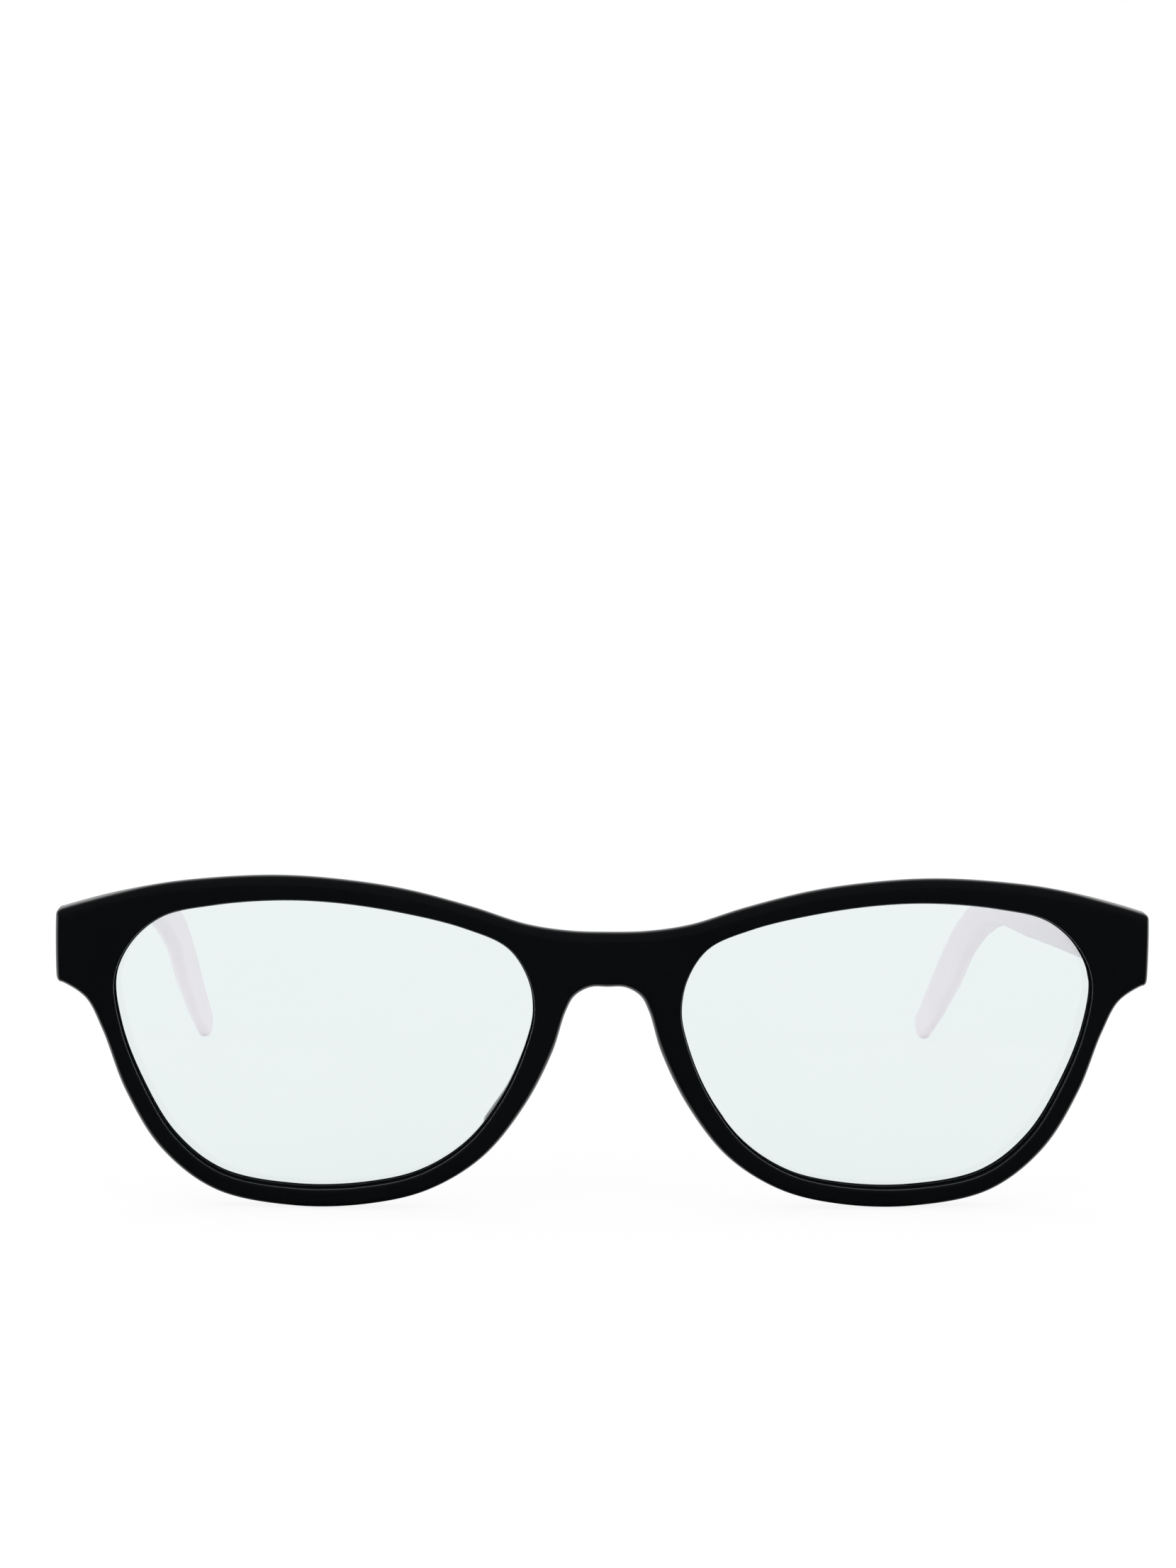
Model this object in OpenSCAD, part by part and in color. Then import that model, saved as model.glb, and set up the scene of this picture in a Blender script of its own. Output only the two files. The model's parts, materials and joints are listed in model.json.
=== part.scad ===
// Eyeglass frame with a full plastic rim, two lenses and two folding arms.
// Millimetres, +Z up, standing open on a flat surface, seen from the front along +Y.
// Left and right are the wearer's: left is +X. The origin is below the middle of the whole object.

/* [Front] */
// Overall width of the front, side to side
front_w = 138; // [134:0.2:146]
// Thickness of the front, from its face to its back
front_t = 4; // [3.4:0.1:5]
// Radius of the front's gentle curve, seen from above
front_curve = 500; // [350:10:900]
// Width of the rim above a lens
rim_top = 2.8; // [2.2:0.05:3.4]
// Width of the rim below a lens
rim_foot = 2.45; // [2:0.05:3]
// Width of the rim beside the nose
rim_nose = 3.35; // [2.9:0.05:4]
// Width of the rim on its outer side, below the end piece
rim_side = 2.5; // [2:0.05:3]
// Height of the bridge's lower edge above the foot of the rims
bridge_under = 28.3; // [27.5:0.1:30]
// Height of the bridge, from its lower edge to its top edge
bridge_h = 6.9; // [5.5:0.05:8]
// Half the width of the bridge's nearly level top
bridge_flat = 5; // [3:0.1:6]
// How much that top rises from the middle to its ends
bridge_rise = 0.15; // [0:0.05:0.5]
// Extra width of the front beside the nose, where the rim meets the bridge
nose_ease = 0.6; // [0.2:0.05:1]
// Height of the round corners under the bridge
bridge_fillet = 1.15; // [0.6:0.05:2]

/* [Lenses] */
// Width of a lens opening
opening_w = 52.4; // [49:0.1:53.5]
// Height of a lens opening
opening_h = 36.5; // [34:0.1:39]
// Distance between the two lens openings across the nose
opening_gap = 18.3; // [16:0.1:19.5]
// Thickness of a lens
lens_t = 2; // [1.4:0.1:2.4]
// Height of the ridge round a lens
ridge_h = 0.55; // [0.3:0.05:0.9]
// Thickness of the ridge round a lens
ridge_t = 0.8; // [0.5:0.1:1.2]
// Gap between a lens and the rim that holds it
lens_clearance = 0.04; // [0.02:0.01:0.1]

/* [End pieces] */
// Height of the flat outer side of an end piece, with its corners
end_h = 9.4; // [9:0.1:10.6]
// Height of an end piece's middle above the foot of the rims
end_z = 32.5; // [31.5:0.05:34]
// Radius of an end piece's corners
end_corner = 0.8; // [0.5:0.1:1.4]
// How much the top rim widens on its way to the end piece
end_swell = 1.25; // [0:0.05:1.8]
// Depth of the end piece behind the front's back, where the arm meets it
end_depth = 2.6; // [2.2:0.1:4]
// Width of the face that the arm closes against
butt_w = 6.4; // [6:0.1:7]
// How far that face reaches above and below the arm
butt_lip = 0.1; // [0:0.05:0.4]

/* [Nose pads] */
// Width of a nose pad
pad_w = 2.3; // [2:0.1:2.6]
// Depth of a nose pad behind the rim
pad_depth = 4.6; // [3:0.1:6]
// How far the back of a nose pad leans away from the nose
pad_flare = 0.3; // [0:0.1:1]

/* [Arms] */
// Length of an arm from its hinge to its tip, along its middle
arm_len = 140; // [135:0.5:145]
// Length of the arm's straight run, from the hinge to the bend
arm_run = 92; // [86:0.5:98]
// Angle of the ear end below the straight run
ear_angle = 30; // [26:1:36]
// Height of an arm at its hinge
arm_h = 8; // [7.6:0.1:8.4]
// Height of an arm before its bend
arm_neck = 5; // [4:0.1:6.5]
// Height of an arm's ear end
ear_h = 7; // [5.5:0.1:8.5]
// Height of an arm's round tip
tip_h = 5; // [4:0.1:5.6]
// Thickness of an arm at its hinge
arm_t = 4; // [3.8:0.1:4.4]
// Thickness of an arm at its bend
bend_t = 3.4; // [3:0.1:3.8]
// Thickness of an arm at its tip
tip_t = 2.2; // [2:0.1:3]
// How far an arm bows outwards along its straight run
arm_bow = 0.3; // [0:0.1:1]
// How far an arm leans inwards at its bend
arm_in = 1.8; // [0:0.1:3]
// How far the tip of an arm curves inwards
tip_in = 5; // [2:0.1:7]
// Height of the flat wire inside an arm
wire_h = 1.4; // [1:0.1:1.8]
// Thickness of the flat wire inside an arm
wire_t = 1; // [0.8:0.1:1.2]
// Distance from the end of the wire to the tip of the arm
wire_short = 12; // [8:1:20]
// Gap all round the wire
wire_clearance = 0.05; // [0.02:0.01:0.1]

/* [Hinges] */
// Angle of the front to the arms: its top stands forward of its foot
front_tilt = 6; // [3:0.5:10]
// Outer radius of a hinge barrel
barrel_r = 1.3; // [1.2:0.05:1.4]
// Height of one of the five knuckles of a hinge
knuckle_h = 1.2; // [1:0.05:1.3]
// Gap between two knuckles
knuckle_gap = 0.05; // [0.03:0.01:0.1]
// Thickness of a hinge leaf
leaf_t = 0.9; // [0.7:0.05:1]
// Width of the leaf that is set into the end piece
front_leaf_w = 3.4; // [3:0.1:3.8]
// Length of the leaf that is set into the arm
arm_leaf_l = 9; // [8:0.1:12]
// Radius of the hinge screw
screw_r = 0.62; // [0.5:0.01:0.7]
// Radius of the hinge screw's head
screw_head_r = 1.05; // [0.9:0.05:1.2]
// Height of the hinge screw's head
screw_head_h = 0.6; // [0.4:0.05:0.8]
// Running gap round the hinge screw
screw_clearance = 0.04; // [0.02:0.01:0.08]
// Gap between an arm and the face that it closes against
butt_clearance = 0.1; // [0.05:0.01:0.2]
// Gap between the hinge barrel and what surrounds it
barrel_clearance = 0.2; // [0.1:0.05:0.3]
// How far the barrel's axis lies inside the arm's inner face
axis_inset = 0.3; // [0.2:0.05:0.5]
// Radius of the studs that anchor the front leaf
stud_r = 0.6; // [0.4:0.05:0.8]
// Length of the studs that anchor the front leaf
stud_l = 2.4; // [1.6:0.1:2.8]
// Radius of the small screws that hold the arm leaf
leaf_screw_r = 0.5; // [0.4:0.05:0.6]
// Radius of the small screws' heads
leaf_head_r = 0.85; // [0.7:0.05:0.95]
// Height of the small screws' heads
leaf_head_h = 0.4; // [0.3:0.05:0.5]
// Length of the small screws below their heads
leaf_screw_l = 2; // [1.4:0.1:2.2]
// Gap round a set-in leaf, a stud or a small screw
seat_clearance = 0.03; // [0.01:0.01:0.06]
// Width of a screwdriver slot
slot_w = 0.3; // [0.2:0.05:0.4]
// Depth of a screwdriver slot
slot_d = 0.2; // [0.1:0.05:0.3]

/* [Hidden] */

$fn = 48;
left = 1;
right = -1;
eps = 0.01;
reach = 30;
rim_step = opening_w / 32;
arm_step = arm_len / 46;
foot_index = 15;
knuckles = 5;

// Curves through points chosen by hand.
function mix(a, b, t) = a + (b - a) * t;
function knot(a, b) = sqrt(norm(b - a));

// A point between b and c, on the smooth curve that passes a, b, c and d.
function curve_point(a, b, c, d, s) =
    let (t1 = knot(a, b), t2 = t1 + knot(b, c), t3 = t2 + knot(c, d), t = mix(t1, t2, s))
    let (ab = mix(a, b, t / t1), bc = mix(b, c, s), cd = mix(c, d, (t - t2) / (t3 - t2)))
    mix(mix(ab, bc, t / t2), mix(bc, cd, (t - t1) / (t3 - t1)), s);

// A closed smooth curve through all the points.
function closed_curve(p, step) =
    let (n = len(p))
    [for (i = [0:n - 1])
        let (b = p[i], c = p[(i + 1) % n], k = max(1, round(norm(c - b) / step)))
        for (j = [0:k - 1]) curve_point(p[(i + n - 1) % n], b, c, p[(i + 2) % n], j / k)];

// An open smooth curve, whose first and last points only steer it.
function open_curve(p, step) =
    [for (i = [1:len(p) - 3])
        let (b = p[i], c = p[i + 1], last = i == len(p) - 3)
        let (k = max(1, round(norm([c.x - b.x, c.y - b.y]) / step)))
        for (j = [0:k - (last ? 0 : 1)]) curve_point(p[i - 1], b, c, p[i + 2], j / k)];

// The direction outwards from point i of a closed path that runs clockwise.
function outward(p, i) =
    let (n = len(p), d = p[(i + 1) % n] - p[(i + n - 1) % n])
    [-d.y, d.x] / norm(d);
function grown(p, by) = [for (i = [0:len(p) - 1]) p[i] + outward(p, i) * by];
function mirrored(p) = [for (i = [len(p) - 1:-1:0]) [-p[i].x, p[i].y]];

// The lens opening on the wearer's left, as parts of its width and height, from the nose
// over the top and back along the foot. Heights are above the foot of the rims.
opening_shape = [
    [0, 0.622], [0.014, 0.74], [0.063, 0.845], [0.167, 0.912], [0.322, 0.965], [0.475, 0.995],
    [0.61, 1], [0.763, 0.979], [0.886, 0.936], [0.961, 0.845], [1, 0.72], [0.987, 0.553],
    [0.935, 0.355], [0.857, 0.17], [0.746, 0.047], [0.571, 0], [0.399, 0.01], [0.266, 0.058],
    [0.154, 0.165], [0.068, 0.332], [0.016, 0.51]
];
opening_points = [for (s = opening_shape) [opening_gap / 2 + s.x * opening_w, rim_foot + s.y * opening_h]];
opening = closed_curve(opening_points, rim_step);

// The rim's outer edge beside point i of the opening.
function rim_point(i, width) = opening_points[i] + outward(opening_points, i) * width;

// Half of the front's outline, from the top of the bridge round the wearer's left side
// to the underside of the bridge.
bridge_top = bridge_under + bridge_h;
nose_edge = opening_gap / 2 - rim_nose - nose_ease;
end_x = front_w / 2;
end_top = end_z + end_h / 2;
end_foot = end_z - end_h / 2;
function end_arc(z, angles) =
    [for (a = angles) [end_x - end_corner + end_corner * cos(a), z + end_corner * sin(a)]];
side_point = rim_point(11, rim_side);
half_outline = concat(
    [[0, bridge_top], [bridge_flat, bridge_top + bridge_rise]],
    [rim_point(2, 1.08 * rim_nose), rim_point(3, 0.96 * rim_top)],
    [rim_point(4, rim_top), rim_point(5, rim_top)],
    [rim_point(6, rim_top + 0.13 * end_swell), rim_point(7, rim_top + 0.37 * end_swell)],
    [rim_point(8, rim_top + end_swell)],
    end_arc(end_top - end_corner, [75, 50, 25, 0]),
    end_arc(end_foot + end_corner, [0, -30, -60, -90]),
    [[mix(side_point.x, end_x, 0.36), mix(side_point.y, end_foot, 0.68)]],
    [side_point, rim_point(12, rim_side), rim_point(13, rim_side)],
    [for (i = [14:17]) rim_point(i, rim_foot)],
    [rim_point(18, mix(rim_foot, rim_nose, 0.2)), rim_point(19, mix(rim_foot, rim_nose, 0.45))],
    [rim_point(20, rim_nose), [nose_edge, opening_points[0].y]],
    [[0.79 * nose_edge, bridge_under - bridge_fillet]],
    [[0.42 * nose_edge, bridge_under - 0.04 * bridge_fillet], [0, bridge_under]]
);
other_half = [for (i = [len(half_outline) - 2:-1:1]) [-half_outline[i].x, half_outline[i].y]];
outline = closed_curve(concat(half_outline, other_half), rim_step);

// How far the curved face has fallen back at a distance from the middle.
function face_y(x) = front_curve - sqrt(front_curve * front_curve - x * x);

// The hinge axis. The arms and hinges are drawn about it, and the front is tilted about it.
axis_x = end_x - arm_t - axis_inset;
butt_y = -barrel_r - barrel_clearance;
axis_y = face_y(axis_x) + front_t + end_depth - butt_y;
barrel_h = knuckles * knuckle_h + (knuckles - 1) * knuckle_gap;
knuckle_pitch = knuckle_h + knuckle_gap;

// An arm from the side, as [along, up, height] down its middle, and from above,
// as [along, out, thickness]. The first and last points only steer the curve.
arm_front = butt_y + butt_clearance;
ear_len = arm_len - arm_run;
function ear(part, width) =
    [arm_run + part * ear_len * cos(ear_angle), -part * ear_len * sin(ear_angle), width];
tip_r = tip_h / 2;
tip_part = 1 - tip_r / ear_len;
arm_side = [
    [-arm_run / 4, 0, arm_h], [arm_front, 0, arm_h], [arm_run * 0.27, 0, mix(arm_h, arm_neck, 0.4)],
    [arm_run * 0.6, 0, mix(arm_h, arm_neck, 0.8)], [arm_run * 0.88, 0, arm_neck],
    ear(0.22, mix(arm_neck, ear_h, 0.4)), ear(0.5, ear_h), ear(0.75, mix(ear_h, tip_h, 0.3)),
    ear(tip_part, tip_h), ear(1.2, tip_r)
];
arm_mid = axis_x + axis_inset + arm_t / 2;
tip_y = ear(1, 0).x;
arm_plan = [
    [-arm_run / 4, arm_mid, arm_t], [arm_front, arm_mid, arm_t],
    [arm_run * 0.12, arm_mid + arm_bow * 0.2, arm_t],
    [arm_run * 0.6, arm_mid + arm_bow - arm_in * 0.4, mix(arm_t, bend_t, 0.6)],
    [arm_run, arm_mid - arm_in, bend_t],
    [mix(arm_run, tip_y, 0.5), arm_mid - mix(arm_in, tip_in, 0.45), mix(bend_t, tip_t, 0.5)],
    [tip_y, arm_mid - tip_in, tip_t], [mix(arm_run, tip_y, 1.3), arm_mid - tip_in * 1.5, tip_t]
];

// A band of the given width along a curve of [x, y, width] points.
function across(c, i) =
    let (d = c[min(i + 1, len(c) - 1)] - c[max(i - 1, 0)])
    [-d.y, d.x] / norm([d.x, d.y]);
function band(c, widths) =
    concat([for (i = [0:len(c) - 1]) [c[i].x, c[i].y] + across(c, i) * widths[i] / 2],
           [for (i = [len(c) - 1:-1:0]) [c[i].x, c[i].y] - across(c, i) * widths[i] / 2]);
side_line = open_curve(arm_side, arm_step);
plan_line = open_curve(arm_plan, arm_step);
side_band = band(side_line, [for (p = side_line) p.z]);
plan_band = band(plan_line, [for (p = plan_line) p.z]);
tip_middle = ear(tip_part, 0);

// The slope at which the frame stands, on the feet of its rims and the tips of its arms.
// Points here are [back, up] from the hinge axis, in the frame of the arms.
function tilted(y, z) =
    let (b = y - axis_y, u = z - end_z)
    [b * cos(front_tilt) - u * sin(front_tilt), b * sin(front_tilt) + u * cos(front_tilt)];
foot_x = rim_point(foot_index, rim_foot).x;
foot_point = tilted(face_y(foot_x), min([for (p = outline) p.y]));
function slope_to(s) =
    let (tip = [tip_middle.x, tip_middle.y] - tip_r * [sin(s), cos(s)])
    atan((tip.y - foot_point.y) / (tip.x - foot_point.x));
stance = slope_to(slope_to(slope_to(4)));
function stood(p) = [p.x * cos(stance) + p.y * sin(stance), p.y * cos(stance) - p.x * sin(stance)];
foremost = min([for (p = outline) stood(tilted(face_y(p.x), p.y)).x]);
rearmost = stood([tip_middle.x, tip_middle.y]).x + tip_r;
lift = -stood(foot_point).y;

// Places what is drawn about the hinge axes on the surface that the frame stands on.
module standing() {
    translate([0, -(foremost + rearmost) / 2, lift])
        rotate([-stance, 0, 0])
            children();
}

// Places what is drawn in the front's own frame: its face at y = 0, its foot at z = 0.
module on_front() {
    standing()
        rotate([front_tilt, 0, 0])
            translate([0, -axis_y, -end_z])
                children();
}

// Mirrors what is drawn for the wearer's left to the side that is wanted.
module on_side(side) {
    mirror([side == right ? 1 : 0, 0, 0])
        children();
}

// An outline in X and Z, drawn out along Y.
module slab(points, y_from, y_to) {
    translate([0, y_to, 0])
        rotate([90, 0, 0])
            linear_extrude(y_to - y_from)
                polygon(points);
}

// Everything behind a curved surface that lies the given depth behind the front's face.
module behind(depth) {
    translate([0, front_curve, -reach])
        cylinder(r = front_curve - depth, h = 3 * reach, $fn = 720);
}

// A curved layer between two depths, within an outline.
module layer(points, depth_from, depth_to) {
    difference() {
        intersection() {
            slab(points, -reach, reach);
            behind(depth_from);
        }
        behind(depth_to);
    }
}

// The body of an end piece, as deep as the face that the arm closes against. Behind the rim
// it narrows to the height of the arm.
module end_piece_space() {
    butt_x = end_x - butt_w;
    deep = axis_y + butt_y;
    rim_back = face_y(end_x) + front_t;
    high = end_h / 2;
    low = arm_h / 2 + butt_lip;
    intersection() {
        translate([0, 0, end_z - reach])
            linear_extrude(2 * reach)
                polygon([
                    [butt_x - end_depth, face_y(butt_x)], [butt_x - end_depth, deep - end_depth],
                    [butt_x, deep + eps], [butt_x, reach], [end_x + 1, reach], [end_x + 1, face_y(butt_x)]
                ]);
        translate([0, 0, end_z])
            rotate([90, 0, 90])
                linear_extrude(2 * reach)
                    polygon([
                        [0, -high], [rim_back, -high], [deep, -low], [reach, -low],
                        [reach, low], [deep, low], [rim_back, high], [0, high]
                    ]);
    }
}

// Cuts away what lies behind the face that the arm closes against.
module arm_space() {
    translate([0, axis_y, end_z])
        rotate([-front_tilt, 0, 0])
            translate([end_x - butt_w - 2 * end_depth, butt_y, -reach])
                cube([reach, 2 * reach, 2 * reach]);
}

// The two layers that a lens takes up: its body, and the ridge round it.
lens_mid = front_t / 2;
module lens_space(clearance) {
    half = ridge_t / 2 + clearance;
    layer(grown(opening, ridge_h + clearance), lens_mid - half, lens_mid + half);
}

// The front leaf's plate and studs lie in the end piece, flush with its rear face.
plate_h = barrel_h - 2 * knuckle_gap;
plate_x = axis_x + barrel_r - front_leaf_w;
stud_x = plate_x + front_leaf_w / 2;
stud_z = plate_h / 2 - 1.6 * stud_r;
module front_plate(clearance) {
    translate([plate_x - clearance, butt_y - leaf_t - clearance, -plate_h / 2 - clearance])
        cube([front_leaf_w + 2 * clearance, leaf_t + clearance, plate_h + 2 * clearance]);
    for (z = [-stud_z, stud_z])
        translate([stud_x, butt_y - leaf_t + eps, z])
            rotate([90, 0, 0])
                cylinder(r = stud_r + clearance, h = stud_l + clearance + eps);
}

// The front: both rims, the bridge and the end pieces in one piece of plastic.
module front() {
    color([0.04, 0.045, 0.05])
        on_front()
            difference() {
                intersection() {
                    slab(outline, -reach, reach);
                    behind(0);
                }
                difference() {
                    behind(front_t);
                    for (side = [left, right])
                        on_side(side)
                            end_piece_space();
                }
                for (side = [left, right])
                    on_side(side) {
                        slab(opening, -reach, reach);
                        lens_space(lens_clearance);
                        arm_space();
                        translate([0, axis_y, end_z])
                            rotate([-front_tilt, 0, 0])
                                front_plate(seat_clearance);
                    }
            }
}

// A lens: a curved disc with a ridge that sits in the rim's groove.
module lens(side) {
    on_front()
        on_side(side) {
            layer(grown(opening, -lens_clearance), lens_mid - lens_t / 2, lens_mid + lens_t / 2);
            lens_space(0);
        }
}
module lens_left() {
    color([0.86, 0.95, 0.93, 0.4])
        lens(left);
}
module lens_right() {
    color([0.86, 0.95, 0.93, 0.4])
        lens(right);
}

// A nose pad: a rounded fin on the back of the rim, from beside the nose to below it.
pad_inset = (rim_foot + rim_nose) / 4;
function rim_middle(i, t) =
    mix(opening_points[i], opening_points[i + 1], t)
    + mix(outward(opening_points, i), outward(opening_points, i + 1), t) * pad_inset;
pad_low = foot_index + 3;
pad_line = [rim_middle(pad_low, 0.45), rim_middle(pad_low + 1, 0.1), rim_middle(pad_low + 1, 0.95)];
module nose_pad(side) {
    pad_r = pad_w / 2;
    pad_tip = [0.8, 1, 0.55];
    on_front()
        on_side(side)
            intersection() {
                hull()
                    for (i = [0:2]) {
                        translate([pad_line[i].x, front_t, pad_line[i].y])
                            sphere(r = pad_r, $fn = 24);
                        translate([pad_line[i].x + pad_flare, 0, pad_line[i].y])
                            translate([0, front_t + pad_depth * pad_tip[i] - pad_r, 0])
                                sphere(r = pad_r, $fn = 24);
                    }
                behind(front_t);
            }
}
module nose_pad_left() {
    color([0.06, 0.065, 0.07])
        nose_pad(left);
}
module nose_pad_right() {
    color([0.06, 0.065, 0.07])
        nose_pad(right);
}

// The band seen from the side, drawn out across the arm.
module side_solid(points) {
    translate([axis_x - reach, 0, 0])
        rotate([90, 0, 90])
            linear_extrude(2 * reach)
                polygon(points);
}

// The band seen from above, drawn out upwards. Its points run along Y and out along X.
module plan_solid(points) {
    translate([0, 0, -2 * reach])
        linear_extrude(3 * reach)
            polygon([for (p = points) [p.y, p.x]]);
}

// The flat wire's space in the arm: it follows the middle of the arm.
function wire_part(c, y_end) = [for (p = c) if (p.x <= y_end) p];
wire_y = ear(1 - wire_short / ear_len, 0).x;
module wire_space(clearance, y_from) {
    side = wire_part(side_line, wire_y);
    plan = wire_part(plan_line, tip_y);
    difference() {
        intersection() {
            side_solid(band(side, [for (p = side) wire_h + 2 * clearance]));
            plan_solid(band(plan, [for (p = plan) wire_t + 2 * clearance]));
        }
        translate([axis_x - reach, y_from - reach, -reach])
            cube([2 * reach, reach, 2 * reach]);
    }
}
module core_wire(side) {
    standing()
        on_side(side)
            wire_space(0, arm_front + 1);
}
module core_wire_left() {
    color([0.7, 0.7, 0.72])
        core_wire(left);
}
module core_wire_right() {
    color([0.7, 0.7, 0.72])
        core_wire(right);
}

// The arm leaf's plate lies in the arm, flush with its inner face.
inner_x = axis_x + axis_inset;
plate_y = barrel_r + barrel_clearance;
leaf_screws = [[plate_y + arm_leaf_l * 0.3, plate_h * 0.28], [plate_y + arm_leaf_l * 0.75, -plate_h * 0.28]];
module arm_plate(clearance, y_from) {
    translate([inner_x - eps, y_from, -plate_h / 2 - clearance])
        cube([leaf_t + clearance + eps, plate_y + arm_leaf_l + clearance - y_from, plate_h + 2 * clearance]);
}

// A small screw in the arm leaf, with its head flush with the leaf.
module leaf_screw_space(clearance) {
    for (p = leaf_screws)
        translate([inner_x, p.x, p.y])
            rotate([0, 90, 0]) {
                translate([0, 0, -eps])
                    cylinder(r = leaf_head_r + clearance, h = leaf_head_h + clearance + eps);
                cylinder(r = leaf_screw_r + clearance, h = leaf_head_h + leaf_screw_l + clearance);
            }
}

// The arm: a band of plastic with a bent ear end and a round tip.
module arm(side) {
    standing()
        on_side(side)
            difference() {
                intersection() {
                    union() {
                        side_solid(side_band);
                        translate([axis_x - reach, tip_middle.x, tip_middle.y])
                            rotate([0, 90, 0])
                                cylinder(r = tip_r, h = 2 * reach);
                    }
                    plan_solid(plan_band);
                }
                translate([axis_x, 0, -arm_h])
                    cylinder(r = barrel_r + barrel_clearance, h = 2 * arm_h);
                arm_plate(seat_clearance, 0);
                leaf_screw_space(seat_clearance);
                wire_space(wire_clearance, arm_front - 1);
            }
}
module arm_left() {
    color([0.9, 0.86, 0.91])
        arm(left);
}
module arm_right() {
    color([0.9, 0.86, 0.91])
        arm(right);
}

// One knuckle of a hinge, counted from the lowest, with the web that joins it to its leaf.
module knuckle(i, web) {
    translate([axis_x, 0, -barrel_h / 2 + i * knuckle_pitch]) {
        cylinder(r = barrel_r, h = knuckle_h);
        translate([web[0].x, web[0].y, 0])
            cube([web[1].x - web[0].x, web[1].y - web[0].y, knuckle_h]);
    }
}
module screw_bore(clearance) {
    translate([axis_x, 0, -barrel_h])
        cylinder(r = screw_r + clearance, h = 2 * barrel_h);
}

// The front leaf holds the first, third and fifth knuckles.
module front_leaf(side) {
    standing()
        on_side(side)
            difference() {
                union() {
                    front_plate(0);
                    for (i = [0, 2, 4])
                        knuckle(i, [[-barrel_r, butt_y - eps], [0, 0]]);
                }
                screw_bore(screw_clearance);
            }
}
module front_leaf_left() {
    color([0.75, 0.75, 0.77])
        front_leaf(left);
}
module front_leaf_right() {
    color([0.75, 0.75, 0.77])
        front_leaf(right);
}

// The arm leaf holds the second and fourth knuckles.
module arm_leaf(side) {
    standing()
        on_side(side)
            difference() {
                union() {
                    arm_plate(0, plate_y);
                    for (i = [1, 3])
                        knuckle(i, [[0, 0], [axis_inset + leaf_t, plate_y + eps]]);
                }
                screw_bore(screw_clearance);
                leaf_screw_space(seat_clearance);
            }
}
module arm_leaf_left() {
    color([0.75, 0.75, 0.77])
        arm_leaf(left);
}
module arm_leaf_right() {
    color([0.75, 0.75, 0.77])
        arm_leaf(right);
}

// The hinge screw: its head rests on the top knuckle, its end is level with the lowest.
module hinge_screw(side) {
    head_z = barrel_h / 2 + seat_clearance;
    standing()
        on_side(side)
            translate([axis_x, 0, 0])
                difference() {
                    union() {
                        translate([0, 0, -barrel_h / 2])
                            cylinder(r = screw_r, h = barrel_h + screw_head_h / 2);
                        translate([0, 0, head_z])
                            cylinder(r = screw_head_r, h = screw_head_h);
                    }
                    translate([-screw_head_r - 1, -slot_w / 2, head_z + screw_head_h - slot_d])
                        cube([2 * screw_head_r + 2, slot_w, slot_d + 1]);
                }
}
module hinge_screw_left() {
    color([0.8, 0.8, 0.82])
        hinge_screw(left);
}
module hinge_screw_right() {
    color([0.8, 0.8, 0.82])
        hinge_screw(right);
}

// The two small screws that hold the arm leaf in the arm.
module leaf_screw_pair(side) {
    standing()
        on_side(side)
            for (p = leaf_screws)
                translate([inner_x, p.x, p.y])
                    rotate([0, 90, 0])
                        difference() {
                            union() {
                                cylinder(r = leaf_head_r, h = leaf_head_h);
                                cylinder(r = leaf_screw_r, h = leaf_head_h + leaf_screw_l);
                            }
                            translate([-leaf_head_r - 1, -slot_w / 2, -1])
                                cube([2 * leaf_head_r + 2, slot_w, slot_d + 1]);
                        }
}
module leaf_screws_left() {
    color([0.8, 0.8, 0.82])
        leaf_screw_pair(left);
}
module leaf_screws_right() {
    color([0.8, 0.8, 0.82])
        leaf_screw_pair(right);
}

echo(stance = stance, axis = [axis_x, -(foremost + rearmost) / 2, lift]);
front();
lens_left();
lens_right();
nose_pad_left();
nose_pad_right();
arm_left();
arm_right();
core_wire_left();
core_wire_right();
front_leaf_left();
front_leaf_right();
arm_leaf_left();
arm_leaf_right();
hinge_screw_left();
hinge_screw_right();
leaf_screws_left();
leaf_screws_right();
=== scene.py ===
# %% [markdown]
# A full-rim eyeglass frame stands open on a table: a black front with two clear lenses,
# and two pale arms on small metal hinges. Its construction model is exact but bare, with
# sharp edges and no finish. This lesson dresses it: each piece is drawn again with the
# rounded edges and the surface of the real one, in the same place and at the same size.
# The construction model is loaded first, because everything else is placed by it.

# %% Load the construction model
import json
import math

import bmesh
import bpy
import numpy as np
from mathutils import Matrix, Vector
from mathutils.geometry import delaunay_2d_cdt


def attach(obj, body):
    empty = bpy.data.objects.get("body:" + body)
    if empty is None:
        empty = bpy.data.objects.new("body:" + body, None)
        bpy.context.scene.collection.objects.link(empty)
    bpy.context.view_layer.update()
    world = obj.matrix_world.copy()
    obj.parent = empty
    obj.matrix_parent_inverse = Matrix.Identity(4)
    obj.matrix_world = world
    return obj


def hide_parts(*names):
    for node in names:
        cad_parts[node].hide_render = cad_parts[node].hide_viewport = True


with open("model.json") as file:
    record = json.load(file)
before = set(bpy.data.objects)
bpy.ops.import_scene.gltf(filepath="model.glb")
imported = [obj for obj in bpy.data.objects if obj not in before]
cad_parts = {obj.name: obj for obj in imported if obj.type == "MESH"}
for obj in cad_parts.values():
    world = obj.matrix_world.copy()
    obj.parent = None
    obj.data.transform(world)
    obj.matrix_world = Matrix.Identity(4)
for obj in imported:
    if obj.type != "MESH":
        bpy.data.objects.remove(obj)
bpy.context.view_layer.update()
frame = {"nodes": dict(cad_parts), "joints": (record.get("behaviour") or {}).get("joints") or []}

print("nodes:", len(frame["nodes"]))

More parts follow.
